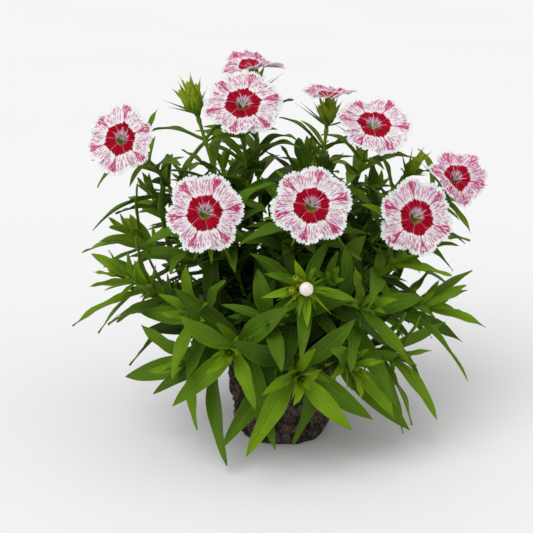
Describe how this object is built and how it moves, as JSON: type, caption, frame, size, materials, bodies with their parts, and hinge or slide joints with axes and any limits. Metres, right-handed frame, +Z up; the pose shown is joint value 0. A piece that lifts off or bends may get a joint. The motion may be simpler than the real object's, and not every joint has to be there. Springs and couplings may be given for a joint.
{
  "type": "dianthus plant",
  "caption": "Flowering dianthus plant out of its pot: a bare tapered root ball to stand on, leafy shoots, and stems that carry buds and fringed two-tone blooms.",
  "frame": {"origin": "centre of the root ball's flat underside, on the surface that it stands on", "axes": "+Z up; the side seen in the picture faces -Y, and +X is to the right of it"},
  "size_m": [0.2333, 0.1892, 0.221],
  "materials": {
    "foliage": "fresh green leaf, satin, bright yellow-green on young growth and deep green on old",
    "petal": "soft matte petal, white with raspberry streaks and a crimson eye",
    "soil": "moist dark peat matted with fine tan roots, rough"
  },
  "bodies": {
    "root": {"root_ball": "soil", "flower_stem_1": "foliage", "flower_stem_2": "foliage", "flower_stem_3": "foliage", "flower_stem_4": "foliage", "flower_stem_5": "foliage", "flower_stem_6": "foliage", "flower_stem_7": "foliage", "flower_stem_8": "foliage", "flower_stem_9": "foliage", "corolla_1": "petal", "corolla_2": "petal", "corolla_3": "petal", "corolla_4": "petal", "corolla_5": "petal", "corolla_6": "petal", "corolla_7": "petal", "corolla_8": "petal", "corolla_9": "petal", "bud_stem_1": "foliage", "bud_stem_2": "foliage", "bud_stem_3": "foliage", "opening_bud_petals": "petal", "leafy_shoot_1": "foliage", "leafy_shoot_2": "foliage", "leafy_shoot_3": "foliage", "leafy_shoot_4": "foliage", "leafy_shoot_5": "foliage", "leafy_shoot_6": "foliage", "leafy_shoot_7": "foliage", "leafy_shoot_8": "foliage", "leafy_shoot_9": "foliage", "leafy_shoot_10": "foliage", "leafy_shoot_11": "foliage", "leafy_shoot_12": "foliage", "leafy_shoot_13": "foliage", "leafy_shoot_14": "foliage", "leafy_shoot_15": "foliage", "leafy_shoot_16": "foliage", "leafy_shoot_17": "foliage", "leafy_shoot_18": "foliage", "leafy_shoot_19": "foliage", "leafy_shoot_20": "foliage", "leafy_shoot_21": "foliage", "leafy_shoot_22": "foliage", "leafy_shoot_23": "foliage", "leafy_shoot_24": "foliage", "leafy_shoot_25": "foliage", "leafy_shoot_26": "foliage", "leafy_shoot_27": "foliage", "leafy_shoot_28": "foliage", "leafy_shoot_29": "foliage"}
  },
  "joints": []
}
